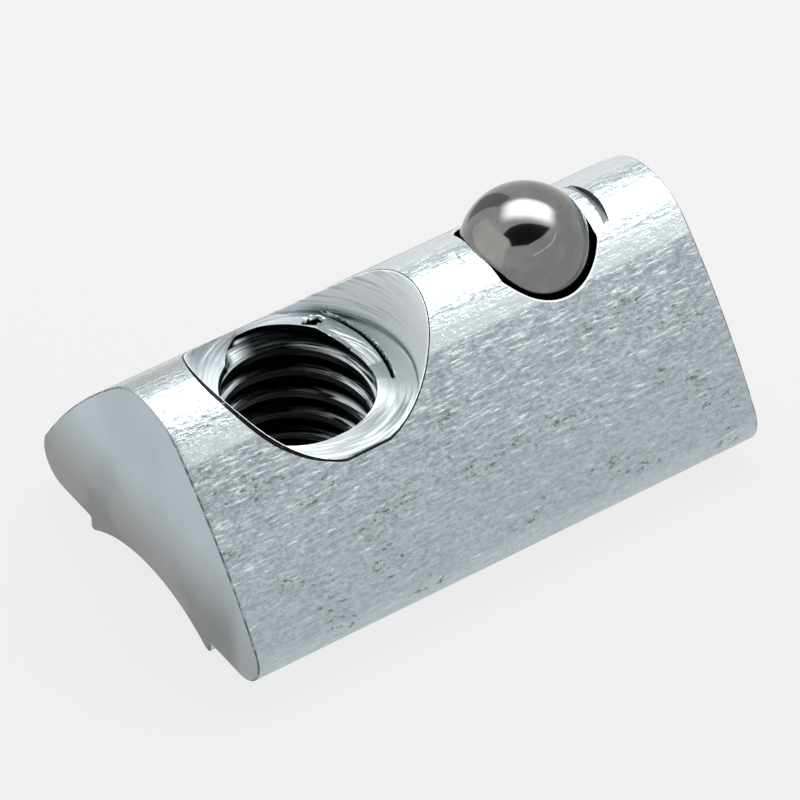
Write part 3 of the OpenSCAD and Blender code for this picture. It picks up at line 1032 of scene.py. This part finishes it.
# %% Soft panel above
HEIGHT_ABOVE = 0.15
PANEL_MIDDLE = (0.0694, 0.0576)
PANEL_ALONG = (0.78, -0.63)
PANEL_HALF_LONG, PANEL_HALF_WIDE = 0.15, 0.1
PANEL_GLOW = 5.0
along = np.array(PANEL_ALONG) / np.hypot(*PANEL_ALONG)
aside = np.array([-along[1], along[0]])
corners = [np.array(PANEL_MIDDLE) + a * PANEL_HALF_LONG * along + b * PANEL_HALF_WIDE * aside
           for a, b in SQUARE]
panel = flat_sheet("soft panel", [(*corner, HEIGHT_ABOVE) for corner in corners])
panel.visible_camera = False
coat(panel, "panel light")
place = add("ShaderNodeTexCoord").outputs["Object"]
centred = add("ShaderNodeVectorMath", {0: place, 1: (*PANEL_MIDDLE, HEIGHT_ABOVE)},
              operation="SUBTRACT").outputs[0]
angle = float(np.arctan2(-PANEL_ALONG[1], PANEL_ALONG[0]))
turned = add("ShaderNodeVectorRotate", {"Vector": centred, "Angle": angle},
             rotation_type="Z_AXIS").outputs[0]
x, y, z = xyz(turned)
shape = share_of((maths("ABSOLUTE", x), PANEL_HALF_LONG, 0.05),
                 (y, -PANEL_HALF_WIDE, -0.04), (y, 0.066, 0.0))
glow((1, 1, 1), maths("MULTIPLY", shape, PANEL_GLOW), add("ShaderNodeBsdfTransparent"))

# %% Dark card over the camera
card_outline = [(-128, 22), (-63, 14), (-13, -9), (36, -43), (93, -84), (27, -112),
                (-62, -122), (-160, -74), (-125, -22)]
card = flat_sheet("dark card", [(x * MM, y * MM, HEIGHT_ABOVE) for x, y in card_outline])
card.visible_camera = card.visible_shadow = False
coat(card, "black card")
dress((0.01, 0.01, 0.01), 0.9)
plug(tree.nodes["Principled BSDF"].inputs["Specular IOR Level"], 0.0)

# %% Pale board, bright seam and dim corner
board = [(-0.15, -0.045, 0.0), (-0.15, 0.3, 0.0), (-0.15, 0.3, 0.17), (-0.15, -0.045, 0.17)]
seam = [(0.138, -0.131, HEIGHT_ABOVE), (0.083, -0.206, HEIGHT_ABOVE),
        (-0.101, -0.274, HEIGHT_ABOVE), (-0.105, -0.266, HEIGHT_ABOVE),
        (0.078, -0.199, HEIGHT_ABOVE), (0.132, -0.126, HEIGHT_ABOVE)]
dim = [(0.001, 0.035, 0.0003), (0.015, 0.035, 0.0003), (0.16, 0.6, 0.0003),
       (0.16, 0.6, 0.47), (-0.09, 0.6, 0.47), (-0.09, 0.6, 0.0003)]
for name, corners, strength in (("pale board", board, 1.2), ("tent seam", seam, 2.5),
                                ("dim corner", dim, 0.4)):
    piece = flat_sheet(name, corners)
    piece.visible_camera = piece.visible_shadow = piece.visible_diffuse = False
    coat(piece, name)
    glow((1, 0.99, 0.97), strength)
print("panel and card", HEIGHT_ABOVE, "m above the floor")

# %% [markdown]
# ## The camera
#
# The lens stands where the photographer's stood: its place was worked out from the straight
# edges, the ball and the turns of the thread. It is a long lens about 27 cm away, aimed at the
# middle of the frame, so the picture needs no shift.

# %% Camera
AIM = Vector((-0.616, -0.694, 5.021)) * MM
DISTANCE = 268.969 * MM
azimuth, elevation, roll = np.radians([-35.739, 43.295, 0.988])
back = Vector((np.sin(azimuth) * np.cos(elevation), -np.cos(azimuth) * np.cos(elevation),
               np.sin(elevation)))
level = Vector((0, 0, 1)).cross(back).normalized()
right = np.cos(roll) * level + np.sin(roll) * back.cross(level)
camera = bpy.data.objects.new("camera", bpy.data.cameras.new("camera"))
bpy.context.scene.collection.objects.link(camera)
camera.data.lens = 279.94
camera.data.sensor_width = 36
camera.data.clip_start = 0.01
camera.data.clip_end = 20
stand = Matrix((right, back.cross(right), back)).transposed().to_4x4()
stand.translation = AIM + back * DISTANCE
camera.matrix_world = stand
bpy.context.scene.camera = camera
bpy.context.scene.view_settings.view_transform = "Standard"
print("camera at", [round(v / MM, 1) for v in stand.translation])
